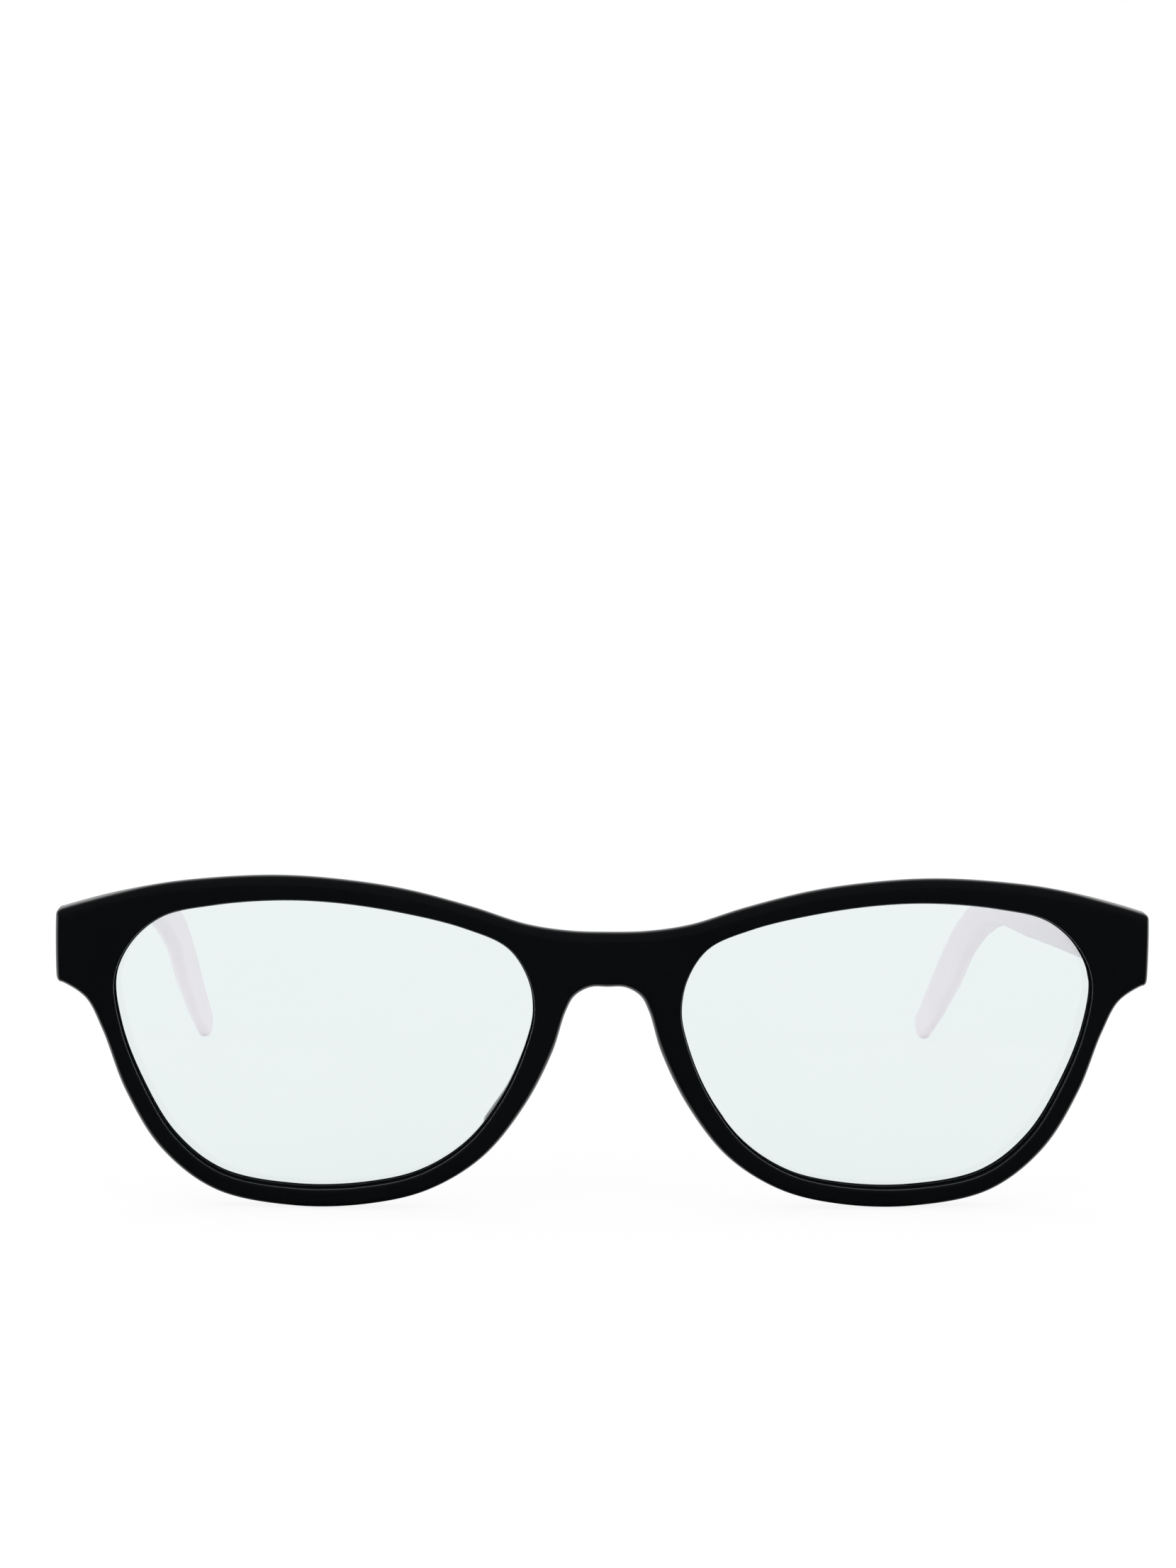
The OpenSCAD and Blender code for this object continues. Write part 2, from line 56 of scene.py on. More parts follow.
# %% [markdown]
# The frame was photographed nearly from straight ahead, a little from above, with a long
# lens. A camera is a place and three directions: right, up and back. They are worked out
# from the two angles of the view and its small roll, so that each can be changed alone.
# The picture is taken to be 1659 by 2212 pixels, which fixes the focal length.

# %% Set up the camera
PICTURE_H = 2212
FOCAL_PIXELS = 4119.6
SENSOR = 36.0
camera_place = Vector((-0.018377, -0.432165, 0.07905))
turn = math.radians(2.48)
pitch = math.radians(4.0)
roll = math.radians(0.567)

forward = Vector((
    math.sin(turn) * math.cos(pitch),
    math.cos(turn) * math.cos(pitch),
    -math.sin(pitch),
))
level_right = Vector((math.cos(turn), -math.sin(turn), 0))
level_up = level_right.cross(forward)
camera_right = level_right * math.cos(roll) + level_up * math.sin(roll)
camera_up = level_up * math.cos(roll) - level_right * math.sin(roll)

camera_data = bpy.data.cameras.new("camera")
camera_data.sensor_fit = "VERTICAL"
camera_data.sensor_height = SENSOR
camera_data.lens = SENSOR * FOCAL_PIXELS / PICTURE_H
camera = bpy.data.objects.new("camera", camera_data)
camera.matrix_world = Matrix.Translation(camera_place) @ Matrix(
    (camera_right, camera_up, -forward)
).transposed().to_4x4()
bpy.context.scene.collection.objects.link(camera)
bpy.context.scene.camera = camera
bpy.context.scene.view_settings.view_transform = "Standard"
print("focal length:", round(camera_data.lens, 2), "mm")

# %% [markdown]
# Materials are node trees. Written out node by node they are long and hard to read, so two
# small helpers come first. A Signal is one socket of a tree with Python's operators, so that
# 1 - mask or 0.2 + 0.1 * noise adds the Math nodes itself.

# %% Wrap a socket
class Signal:
    """A value that varies over a surface: one output socket, with operators."""

    def __init__(self, tree, socket):
        self.tree = tree
        self.socket = socket

    def maths(self, operation, *inputs):
        values = {i: value for i, value in enumerate(inputs)}
        return self.tree.node("Math", {"operation": operation}, values)

    def __add__(self, other):
        return self.maths("ADD", self, other)

    def __sub__(self, other):
        return self.maths("SUBTRACT", self, other)

    def __rsub__(self, other):
        return self.maths("SUBTRACT", other, self)

    def __mul__(self, other):
        return self.maths("MULTIPLY", self, other)

    __radd__ = __add__
    __rmul__ = __mul__


# %% [markdown]
# A Tree is a node tree that is being written. Its node method adds any node in one call. The
# settings go first, because some of them change which sockets the node has. The nodes that
# nearly every material here uses, such as noise and a blend of two colours, have short names.

# %% Write a node tree
class Tree:
    """A node tree that is being written."""

    def __init__(self, tree):
        self.tree = tree
        tree.nodes.clear()

    def node(self, kind, settings, inputs, output=0):
        """Adds a node: its settings first, then the values or links of its sockets."""
        made = self.tree.nodes.new("ShaderNode" + kind)
        for name, value in settings.items():
            setattr(made, name, value)
        for name, value in inputs.items():
            if isinstance(value, Signal):
                self.tree.links.new(value.socket, made.inputs[name])
            else:
                made.inputs[name].default_value = value
        return Signal(self, made.outputs[output]) if made.outputs else made

    def place(self):
        """The object's own coordinates, in metres."""
        return self.node("TexCoord", {}, {}, output="Object")

    def noise(self, per_metre, detail=3.0, distortion=0.0):
        inputs = {
            "Vector": self.place(), "Scale": per_metre,
            "Detail": detail, "Distortion": distortion,
        }
        return self.node("TexNoise", {}, inputs)

    def mix(self, factor, first, second):
        """A blend of two colours."""
        settings = {"data_type": "RGBA"}
        return self.node("Mix", settings, {0: factor, 6: first, 7: second}, output=2)

    def bump(self, height, distance, strength=1.0):
        inputs = {"Height": height, "Distance": distance, "Strength": strength}
        return self.node("Bump", {}, inputs)


# %% [markdown]
# The material of every piece ends in one Principled shader. What is the same all over a
# piece is a constant on the shader's own socket, and what varies over it is linked there.

# %% Start and end a material
def new_material(name):
    material = bpy.data.materials.new(name)
    material.use_nodes = True
    return material, Tree(material.node_tree)


def finish_with(tree, **sockets):
    """Ends a material with one Principled shader, whose sockets are given by their names."""
    named = {name.replace("_", " "): value for name, value in sockets.items()}
    shader = tree.node("BsdfPrincipled", {}, named)
    tree.node("OutputMaterial", {}, {"Surface": shader})


# %% [markdown]
# The photograph's surroundings are a plain white sweep in soft light. White all round would
# also be mirrored in the black plastic's face and turn it grey. In a real studio the room
# in front of the object and above it is dark, and the walls behind it are bright: so the
# face stays black and only the very edge of its rounding shines. The sky is split in the
# same way. What the camera sees directly, or through the lenses, is white. Mirrors see the
# dark room. The light comes from the whole sky.

# %% Light the scene from the sky
SKY = 0.8
DIM = 0.08
ROOM_TOWARDS = (0.0, -0.7, 0.7)
ROOM_EDGE = -0.4
ROOM_FULL = 0.1
WHITE = (1.0, 1.0, 1.0, 1.0)

world = bpy.data.worlds.new("studio")
bpy.context.scene.world = world
world.use_nodes = True
sky = Tree(world.node_tree)


def seen_directly(tree, *ways):
    """1 for a ray from the camera, also by the other ways that are named, and 0 for light."""
    seen = tree.node("LightPath", {}, {}, output="Is Camera Ray")
    for way in ways:
        seen = seen.maths("MAXIMUM", seen, tree.node("LightPath", {}, {}, output=way))
    return seen


direction = sky.node("TexCoord", {}, {}, output="Generated")
in_front = sky.node("VectorMath", {"operation": "DOT_PRODUCT"}, {
    0: direction, 1: ROOM_TOWARDS,
}, output="Value")
dark_room = sky.node("MapRange", {"interpolation_type": "SMOOTHSTEP"}, {
    "Value": in_front, "From Min": ROOM_EDGE, "From Max": ROOM_FULL,
    "To Min": 0.0, "To Max": SKY - DIM,
})
mirrored = sky.node("LightPath", {}, {}, output="Is Glossy Ray")
shown_white = seen_directly(sky, "Is Transmission Ray")
strength = (SKY - dark_room * mirrored) * (1 - shown_white) + shown_white
light = sky.node("Background", {}, {"Color": WHITE, "Strength": strength})
sky.node("OutputWorld", {}, {"Surface": light})
print("nodes in the sky:", len(world.node_tree.nodes))

# %% [markdown]
# Light that is the same from all sides shows no form, so three large soft lamps are added.
# They are so far away that they light the whole table evenly. They are kept out of mirrors,
# where each would leave a bright spot on the gloss.

# %% Add the lamps
def distant_lamp(name, place, spread, strength):
    """A large soft lamp far away: place is the direction that its light comes from."""
    data = bpy.data.lights.new(name, "SUN")
    data.angle = math.radians(spread)
    data.energy = strength
    lamp = bpy.data.objects.new(name, data)
    lamp.location = place
    lamp.rotation_euler = (-Vector(place)).to_track_quat("-Z", "Y").to_euler()
    lamp.visible_glossy = False
    bpy.context.scene.collection.objects.link(lamp)


distant_lamp("top_lamp", (-0.15, 0.25, 1.0), 50, 0.25)
distant_lamp("left_lamp", (-0.9, -0.8, 0.4), 40, 0.7)
distant_lamp("right_lamp", (1.0, -0.5, 0.35), 40, 0.6)

# %% [markdown]
# The floor is one large flat sheet of paper, a real surface, so that it takes the shadow of
# the frame.

# %% Lay the floor
FLOOR_HALF = 3.0

floor_mesh = bpy.data.meshes.new("floor")
corners = [(-1, -1), (1, -1), (1, 1), (-1, 1)]
floor_points = [(x * FLOOR_HALF, y * FLOOR_HALF, 0) for x, y in corners]
floor_mesh.from_pydata(floor_points, [], [(0, 1, 2, 3)])
floor = bpy.data.objects.new("floor", floor_mesh)
bpy.context.scene.collection.objects.link(floor)
print("floor:", 2 * FLOOR_HALF, "m wide")

# %% [markdown]
# The paper's own colour is a pale grey. Seen directly it is mostly a white of its own, and
# wholly so from half a metre away, so it meets the white sky with no line between them.
# Near the frame some of the real surface still shows, and with it the soft shadow under the
# frame. The face also mirrors the floor in front of it. There the photographer's black card
# is laid, which shows in mirrors alone.

# %% Make the floor's paper
PAPER_GRAIN = 900
PAPER_GLOW = 1.03
PAPER_SHARE = 0.15
PAPER_NEAR = 0.15
PAPER_FAR = 0.5
CARD_NEAR = 0.062
CARD_FULL = 0.069

floor_material, paper = new_material("floor_paper")
grain = paper.mix(paper.noise(PAPER_GRAIN), (0.93, 0.93, 0.93, 1), (0.96, 0.96, 0.96, 1))
surface = paper.node("BsdfPrincipled", {}, {
    "Base Color": grain, "Roughness": 0.9, "Specular IOR Level": 0.1,
})
forward_of = paper.node("VectorMath", {"operation": "DOT_PRODUCT"}, {
    0: paper.place(), 1: (0.0, -1.0, 0.0),
}, output="Value")
through_lens = paper.node("LightPath", {}, {}, output="Is Transmission Ray")
in_mirror = paper.node("LightPath", {}, {}, output="Is Glossy Ray") * (1 - through_lens)
card = in_mirror * paper.node("MapRange", {"interpolation_type": "SMOOTHSTEP"}, {
    "Value": forward_of, "From Min": CARD_NEAR, "From Max": CARD_FULL,
})
own_white = paper.node("Emission", {}, {"Color": WHITE, "Strength": PAPER_GLOW * (1 - card)})
away = paper.node("VectorMath", {"operation": "LENGTH"}, {0: paper.place()}, output="Value")
near = paper.node("MapRange", {"interpolation_type": "SMOOTHSTEP"}, {
    "Value": away, "From Min": PAPER_NEAR, "From Max": PAPER_FAR,
    "To Min": PAPER_SHARE, "To Max": 0.0,
})
whitened = seen_directly(paper, "Is Transmission Ray", "Is Glossy Ray") * (1 - near)
whitened = whitened.maths("MAXIMUM", whitened, card)
mixed = paper.node("MixShader", {}, {0: whitened, 1: surface, 2: own_white})
paper.node("OutputMaterial", {}, {"Surface": mixed})
floor_mesh.materials.append(floor_material)
print("the paper is all white from", PAPER_FAR, "m away")

# %% [markdown]
# The front's plastic is cut from black sheet and tumbled to a soft gloss. Up close it isn't
# one flat colour: the tumbling leaves a faint orange peel, and the gloss is uneven where it
# has been handled. Those are small changes of the roughness and of a shallow bump, and the
# colour itself stays almost black. The walls of the lens openings aren't reached by the
# tumbling and stay matte from the cutter, so they get a second finish with no gloss at all.

# %% Make the black plastic
def make_black_plastic():
    material, tree = new_material("black_plastic")
    cloud = tree.noise(120, detail=4)
    peel = tree.noise(1400, detail=2)
    handled = tree.noise(260, detail=5, distortion=0.6)
    colour = tree.mix(cloud, (0.0024, 0.0030, 0.0036, 1), (0.0036, 0.0044, 0.0052, 1))
    finish_with(
        tree, Base_Color=colour, Roughness=0.13 + 0.12 * handled,
        Specular_IOR_Level=0.3, Normal=tree.bump(peel, 0.00002, 0.5),
    )
    return material


def make_cut_plastic():
    material, tree = new_material("cut_black_plastic")
    marks = tree.noise(1800, detail=3)
    colour = tree.mix(marks, (0.004, 0.005, 0.005, 1), (0.008, 0.009, 0.0095, 1))
    finish_with(
        tree, Base_Color=colour, Roughness=0.6 + 0.2 * marks,
        Specular_IOR_Level=0.0, Normal=tree.bump(marks, 0.00002, 0.4),
    )
    return material


black_plastic = make_black_plastic()
cut_plastic = make_cut_plastic()
print("made:", black_plastic.name, "and", cut_plastic.name)

# %% [markdown]
# The lenses are clear plastic with a faint green cast, which shows against white. The
# shader lets the light pass and tints it on the way. The faces are polished, so they have no
# roughness. The edge of a lens is ground, so it gets a matte finish of its own. It sits in
# the black groove, and its colour is a painted shade, nearly black, for the groove's darkness
# that shows in it: so the lens shows a dark line all round.

# %% Make the lens material
def make_lens_material():
    material, tree = new_material("clear_lens")
    smear = tree.noise(60, detail=3, distortion=0.8)
    colour = tree.mix(smear, (0.852, 0.912, 0.912, 1), (0.864, 0.922, 0.922, 1))
    finish_with(
        tree, Base_Color=colour, Roughness=0.0, Transmission_Weight=1.0, IOR=1.5,
        Specular_IOR_Level=0.5,
    )
    return material


def make_ground_edge_painted_dark():
    material, tree = new_material("ground_lens_edge_painted_dark")
    marks = tree.noise(2500, detail=2)
    # The near-black colour is painted shade: the groove's darkness that shows in the ground edge.
    colour = tree.mix(marks, (0.006, 0.008, 0.008, 1), (0.014, 0.017, 0.017, 1))
    finish_with(tree, Base_Color=colour, Roughness=0.55 + 0.2 * marks, Specular_IOR_Level=0.1)
    return material


clear_lens = make_lens_material()
ground_edge_painted_dark = make_ground_edge_painted_dark()
print("made:", clear_lens.name, "and", ground_edge_painted_dark.name)

# %% [markdown]
# The arms are milky pink-lilac plastic. Light goes a little way in and comes out again, so
# the shader uses subsurface scattering with a short reach, and the colour drifts slowly
# between pink and lilac as it does in a real sheet. The gloss varies a little too, but its
# roughness stays above 0.28: the renderer's noise filter treats a glossier surface in
# another way, and where both kinds meet on one pale piece it leaves small marks.

# %% Make the arm plastic
def make_arm_plastic():
    material, tree = new_material("milky_arm_plastic")
    drift = tree.noise(30, detail=1, distortion=0.6)
    fine = tree.noise(700, detail=3)
    handled = tree.noise(240, detail=5, distortion=0.5)
    colour = tree.mix(drift, (0.98, 0.86, 0.9, 1), (0.965, 0.865, 0.915, 1))
    finish_with(
        tree, Base_Color=colour, Roughness=0.29 + 0.12 * handled, Subsurface_Weight=0.5,
        Subsurface_Radius=(1.0, 1.0, 1.0), Subsurface_Scale=0.0012,
        Normal=tree.bump(fine, 0.00002, 0.4),
    )
    return material


arm_plastic = make_arm_plastic()
print("made:", arm_plastic.name)

# %% [markdown]
# Hinges and screws are nickel-plated or turned steel. Both are metals with a fine direction
# in their surface: stretched noise gives brushed lines, which go into the roughness and a
# very shallow bump.

# %% Make the metals
def make_metal(name, colour, darker, roughness, stretch):
    material, tree = new_material(name)
    settings = {"vector_type": "POINT"}
    stretched = tree.node("Mapping", settings, {"Vector": tree.place(), "Scale": stretch})
    lines = tree.node("TexNoise", {}, {"Vector": stretched, "Scale": 1000.0, "Detail": 4.0})
    stain = tree.noise(500, detail=3)
    finish_with(
        tree, Base_Color=tree.mix(stain, darker, colour), Metallic=1.0,
        Roughness=roughness + 0.12 * lines, Normal=tree.bump(lines, 0.00001, 0.4),
    )
    return material


nickel = make_metal("satin_nickel", (0.66, 0.64, 0.6, 1), (0.5, 0.48, 0.45, 1), 0.3, (1, 1, 8))
steel = make_metal("turned_steel", (0.7, 0.7, 0.71, 1), (0.56, 0.56, 0.57, 1), 0.13, (6, 6, 1))
wire_steel = make_metal("wire_steel", (0.66, 0.66, 0.68, 1), (0.55, 0.55, 0.57, 1), 0.3, (8, 1, 8))
print("materials:", len(bpy.data.materials))

# %% [markdown]
# The outlines are drawn in millimetres, in the front's own plane: X across, Z up from the
# foot of the rims, and Y back from the face. One matrix then carries a drawing to its place
# in the world. The hinge axis of the loaded model says where the arms' plane stands and how
# far it leans, and the front leans forward from that plane by its own tilt.

# %% Place the front and the arms
MM = 0.001
front_w = 138.0
front_t = 4.0
front_curve = 500.0
end_z = 32.5
end_depth = 2.6
arm_t = 4.0
axis_inset = 0.3
barrel_r = 1.3
barrel_clearance = 0.2
front_tilt = math.radians(6)

end_x = front_w / 2
axis_x = end_x - arm_t - axis_inset
butt_y = -barrel_r - barrel_clearance


def face_y(x):
    """How far the curved face has fallen back at x."""
    return front_curve - np.sqrt(front_curve ** 2 - np.square(x))


def layer_y(x, depth):
    """Where the surface lies that is the given depth inside the curved face."""
    return front_curve - np.sqrt((front_curve - depth) ** 2 - np.square(x))


axis_y = float(face_y(axis_x)) + front_t + end_depth - butt_y
left_fold = next(j for j in frame["joints"] if j["name"] == "left_arm_fold")
stance = math.asin(left_fold["axis"][1])
in_millimetres = Matrix.Scale(MM, 4)
standing = (
    Matrix.Translation((0, left_fold["pos_m"][1], left_fold["pos_m"][2]))
    @ Matrix.Rotation(-stance, 4, "X")
    @ in_millimetres
)
on_front = (
    standing
    @ Matrix.Rotation(front_tilt, 4, "X")
    @ Matrix.Translation((0, -axis_y, -end_z))
)
print("the arms slope down by", round(math.degrees(stance), 2), "degrees")

# %% [markdown]
# Free-form outlines come from a few points that a smooth curve passes through. The curve
# must not overshoot where the points are close together, as at the corners of the end
# pieces, so each stretch is weighted by the square root of its length.

# %% Draw smooth curves
def curve_point(a, b, c, d, s):
    """A point between b and c, on the smooth curve that passes a, b, c and d."""
    t1 = math.sqrt(np.linalg.norm(b - a))
    t2 = t1 + math.sqrt(np.linalg.norm(c - b))
    t3 = t2 + math.sqrt(np.linalg.norm(d - c))
    t = t1 + (t2 - t1) * s
    ab = a + (b - a) * t / t1
    bc = b + (c - b) * s
    cd = c + (d - c) * (t - t2) / (t3 - t2)
    abc = ab + (bc - ab) * t / t2
    bcd = bc + (cd - bc) * (t - t1) / (t3 - t1)
    return abc + (bcd - abc) * s


def closed_curve(points, step):
    points = np.array(points, float)
    n = len(points)
    made = []
    for i in range(n):
        a, b, c, d = (points[(i + k) % n] for k in (-1, 0, 1, 2))
        count = max(1, round(np.linalg.norm(c - b) / step))
        made += [curve_point(a, b, c, d, j / count) for j in range(count)]
    return np.array(made)


def open_curve(points, step):
    """The first and last points only steer it."""
    points = np.array(points, float)
    made = []
    for a, b, c, d in zip(points, points[1:], points[2:], points[3:]):
        count = max(1, round(np.linalg.norm((c - b)[:2]) / step))
        made += [curve_point(a, b, c, d, j / count) for j in range(count)]
    return np.array(made + [points[-2]])


def outward(path):
    """Unit directions out of a closed path that runs clockwise."""
    along = np.roll(path, -1, axis=0) - np.roll(path, 1, axis=0)
    across = np.stack([-along[:, 1], along[:, 0]], axis=1)
    return across / np.linalg.norm(across, axis=1)[:, None]


def mix(a, b, t):
    return a + (b - a) * t


def smooth_step(x, low, high):
    t = np.clip((x - low) / (high - low), 0, 1)
    return t * t * (3 - 2 * t)


# %% [markdown]
# Everything on the front hangs on one shape, the lens opening. It is given once for the
# wearer's left, as parts of its width and height, and the rims' outer edge follows it at
# the width of the rim. The bridge and the end pieces have points of their own.

# %% Draw the opening and the front's outline
rim_top = 2.8
rim_foot = 2.45
rim_nose = 3.35
rim_side = 2.5
bridge_under = 28.3
bridge_h = 6.9
bridge_flat = 5.0
bridge_rise = 0.15
nose_ease = 0.6
bridge_fillet = 1.15
opening_w = 52.4
opening_h = 36.5
opening_gap = 18.3
end_h = 9.4
end_corner = 0.8
end_swell = 1.25
outline_step = 0.45

opening_shape = [
    (0, 0.622), (0.014, 0.74), (0.063, 0.845), (0.167, 0.912), (0.322, 0.965), (0.475, 0.995),
    (0.61, 1), (0.763, 0.979), (0.886, 0.936), (0.961, 0.845), (1, 0.72), (0.987, 0.553),
    (0.935, 0.355), (0.857, 0.17), (0.746, 0.047), (0.571, 0), (0.399, 0.01), (0.266, 0.058),
    (0.154, 0.165), (0.068, 0.332), (0.016, 0.51),
]
opening_points = np.array([
    (opening_gap / 2 + u * opening_w, rim_foot + v * opening_h) for u, v in opening_shape
])
opening_sides = outward(opening_points)
left_opening = closed_curve(opening_points, outline_step)


def rim_point(i, width):
    """The rim's outer edge beside point i of the opening."""
    return tuple(opening_points[i] + opening_sides[i] * width)


def end_arc(z, angles):
    turns = [math.radians(a) for a in angles]
    middle = end_x - end_corner
    return [(middle + end_corner * math.cos(a), z + end_corner * math.sin(a)) for a in turns]


bridge_top = bridge_under + bridge_h
nose_edge = opening_gap / 2 - rim_nose - nose_ease
end_top = end_z + end_h / 2
end_foot = end_z - end_h / 2
side_point = rim_point(11, rim_side)
end_turn = (mix(side_point[0], end_x, 0.36), mix(side_point[1], end_foot, 0.68))

half_outline = [
    (0, bridge_top), (bridge_flat, bridge_top + bridge_rise),
    rim_point(2, 1.08 * rim_nose), rim_point(3, 0.96 * rim_top),
    rim_point(4, rim_top), rim_point(5, rim_top),
    rim_point(6, rim_top + 0.13 * end_swell), rim_point(7, rim_top + 0.37 * end_swell),
    rim_point(8, rim_top + end_swell),
    *end_arc(end_top - end_corner, (75, 50, 25, 0)),
    *end_arc(end_foot + end_corner, (0, -30, -60, -90)),
    end_turn, side_point, rim_point(12, rim_side), rim_point(13, rim_side),
    *[rim_point(i, rim_foot) for i in range(14, 18)],
    rim_point(18, mix(rim_foot, rim_nose, 0.2)), rim_point(19, mix(rim_foot, rim_nose, 0.45)),
    rim_point(20, rim_nose), (nose_edge, opening_points[0][1]),
    (0.79 * nose_edge, bridge_under - bridge_fillet),
    (0.42 * nose_edge, bridge_under - 0.04 * bridge_fillet), (0, bridge_under),
]
other_half = [(-x, z) for x, z in half_outline[-2:0:-1]]
outline = closed_curve(half_outline + other_half, outline_step)
right_opening = left_opening[::-1] * (-1, 1)
print("outline points:", len(outline), "and in an opening:", len(left_opening))

# %% [markdown]
# A mesh is written as rings of points that are joined into strips, and flat areas that are
# filled with triangles. A small class keeps the points and faces, so that each piece below
# reads as a list of its rings. Strips follow the edge of a piece, which gives clean, even
# highlights on its rounded edges. Pockets, and blocks that stand out of a piece, are easier
# as solids of their own that are then joined or cut away.

# %% A helper that collects rings and strips
class Shell:
    """The points and faces of one piece, in the millimetres of its drawing."""

    def __init__(self):
        self.points = []
        self.faces = []
        self.finishes = []
        self.finish = 0

    def add(self, face):
        """Adds a face in the finish that is chosen at the moment."""
        self.faces.append(face)
        self.finishes.append(self.finish)

    def ring(self, x, y, z):
        """Adds a ring of points and returns their numbers."""
        first = len(self.points)
        self.points += np.stack(np.broadcast_arrays(x, y, z), axis=1).tolist()
        return list(range(first, len(self.points)))

    def strip(self, ring_a, ring_b):
        """Joins two rings of the same length."""
        n = len(ring_a)
        for i in range(n):
            k = (i + 1) % n
            self.add((ring_a[i], ring_a[k], ring_b[k], ring_b[i]))

    def strips(self, rings):
        for ring_a, ring_b in zip(rings, rings[1:]):
            self.strip(ring_a, ring_b)

    def fan(self, ring):
        """Closes a ring with triangles round its middle."""
        middle = np.mean([self.points[i] for i in ring], axis=0)
        hub = self.ring(*[[v] for v in middle])[0]
        for a, b in zip(ring, ring[1:] + ring[:1]):
            self.add((a, b, hub))

    def solid(self, name, matrix, *materials):
        """Makes the object and turns its faces outwards."""
        mesh = bpy.data.meshes.new(name)
        mesh.from_pydata(self.points, [], self.faces)
        for material in materials:
            mesh.materials.append(material)
        mesh.polygons.foreach_set("material_index", self.finishes)
        shape = bmesh.new()
        shape.from_mesh(mesh)
        shape.transform(matrix)
        bmesh.ops.recalc_face_normals(shape, faces=shape.faces)
        if shape.calc_volume(signed=True) < 0:
            bmesh.ops.reverse_faces(shape, faces=shape.faces)
        shape.to_mesh(mesh)
        shape.free()
        made = bpy.data.objects.new(name, mesh)
        bpy.context.scene.collection.objects.link(made)
        return made


# %% [markdown]
# Solids are joined and cut with a Boolean modifier, whose result is taken over at once. A
# finished piece is shaded smooth up to an angle, and then handed to the construction model:
# it rides on a body and stands in for the bare solids. A count of edges without two faces
# tells at once whether it is closed.

# %% Helpers that join, cut and hand over
def combine(piece, tool, operation):
    """Joins a tool's solid to the piece, or cuts it away, and removes the tool."""
    modifier = piece.modifiers.new("combine", "BOOLEAN")
    modifier.object = tool
    modifier.operation = operation
    modifier.solver = "EXACT"
    finished = piece.evaluated_get(bpy.context.evaluated_depsgraph_get())
    mesh = bpy.data.meshes.new_from_object(finished)
    piece.modifiers.clear()
    piece.data = mesh
    bpy.data.objects.remove(tool)


def seat(piece, body, slot, *nodes, sharp=38):
    """Shades the piece, lets it ride on its body and puts it in place of its nodes."""
    mesh = piece.data
    mesh.shade_smooth()
    mesh.set_sharp_from_angle(angle=math.radians(sharp))
    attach(piece, body)
    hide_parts(*nodes)
    shape = bmesh.new()
    shape.from_mesh(mesh)
    loose = sum(len(edge.link_faces) != 2 for edge in shape.edges)
    shape.free()
    print(piece.name + ":", len(mesh.polygons), "faces,", loose, "open edges")


# %% [markdown]
# A flat area with holes, such as the face between the rims' edges, can't be a strip. It is
# filled with triangles by a Delaunay triangulation over the boundary rings and a net of
# points between them. The net keeps the triangles small, so the curve of the face shows
# no facets.

# %% A helper that fills between rings
def inside(points, path):
    """Which points lie inside a closed path."""
    x, z = points[:, 0:1], points[:, 1:2]
    ax, az = path[:, 0], path[:, 1]
    bx, bz = np.roll(ax, -1), np.roll(az, -1)
    spans = (az > z) != (bz > z)
    rise = np.where(bz == az, 1.0, bz - az)
    crosses = spans & (x < ax + (z - az) / rise * (bx - ax))
    return crosses.sum(axis=1) % 2 == 1


def within(points, outer, holes):
    kept = inside(points, outer)
    for hole in holes:
        kept &= ~inside(points, hole)
    return kept


def net_points(outer, holes, spacing):
    """A triangular net of points inside the area, kept clear of its edges."""
    low, high = outer.min(axis=0), outer.max(axis=0)
    columns = np.arange(low[0], high[0], spacing)
    rows = np.arange(low[1], high[1], spacing * 0.866)
    net = np.array([(x + spacing / 2 * (j % 2), z) for j, z in enumerate(rows) for x in columns])
    net = net[within(net, outer, holes)]
    edge = np.concatenate([outer, *holes])
    distance = np.array([np.min(np.hypot(*(edge - p).T)) for p in net])
    return net[distance > 0.6 * spacing]


def fill_area(outer, holes, net):
    """Triangles over the area: numbers into outer, then the holes, then the net."""
    loops = [outer, *holes]
    flat = np.concatenate([*loops, net])
    edges = []
    first = 0
    for loop in loops:
        n = len(loop)
        edges += [(first + i, first + (i + 1) % n) for i in range(n)]
        first += n
    made, _, triangles, origins, _, _ = delaunay_2d_cdt(
        [Vector(p) for p in flat], edges, [], 0, 1e-7
    )
    number = [origin[0] for origin in origins]
    middles = np.array([np.mean([made[i] for i in t], axis=0) for t in triangles])
    kept = within(middles, outer, holes)
    return [tuple(number[i] for i in t) for t, keep in zip(triangles, kept) if keep]


# %% [markdown]
# The front is one piece of plastic: two rims, a bridge and two end pieces. The rims and the
# bridge are a layer of even thickness that follows the face's curve. Its outer edge is fully
# rounded, more deeply towards the back, so from slightly above no flat top shows. At the end
# pieces the rounding is small.

# %% Round the outer wall
face_round = (1.0, 1.6)
back_round = (1.3, 2.3)
end_round = 0.75
end_starts = 56.0
end_full = 64.0
round_steps = 8


def end_share(x):
    """0 along the rims and 1 at the end pieces."""
    return smooth_step(np.abs(x), end_starts, end_full)


def quarter(steps):
    """A quarter circle, as how far in and how far down it is from the sharp corner."""
    turns = np.linspace(0, math.pi / 2, steps)
    return [(1 - math.cos(a), 1 - math.sin(a)) for a in turns]


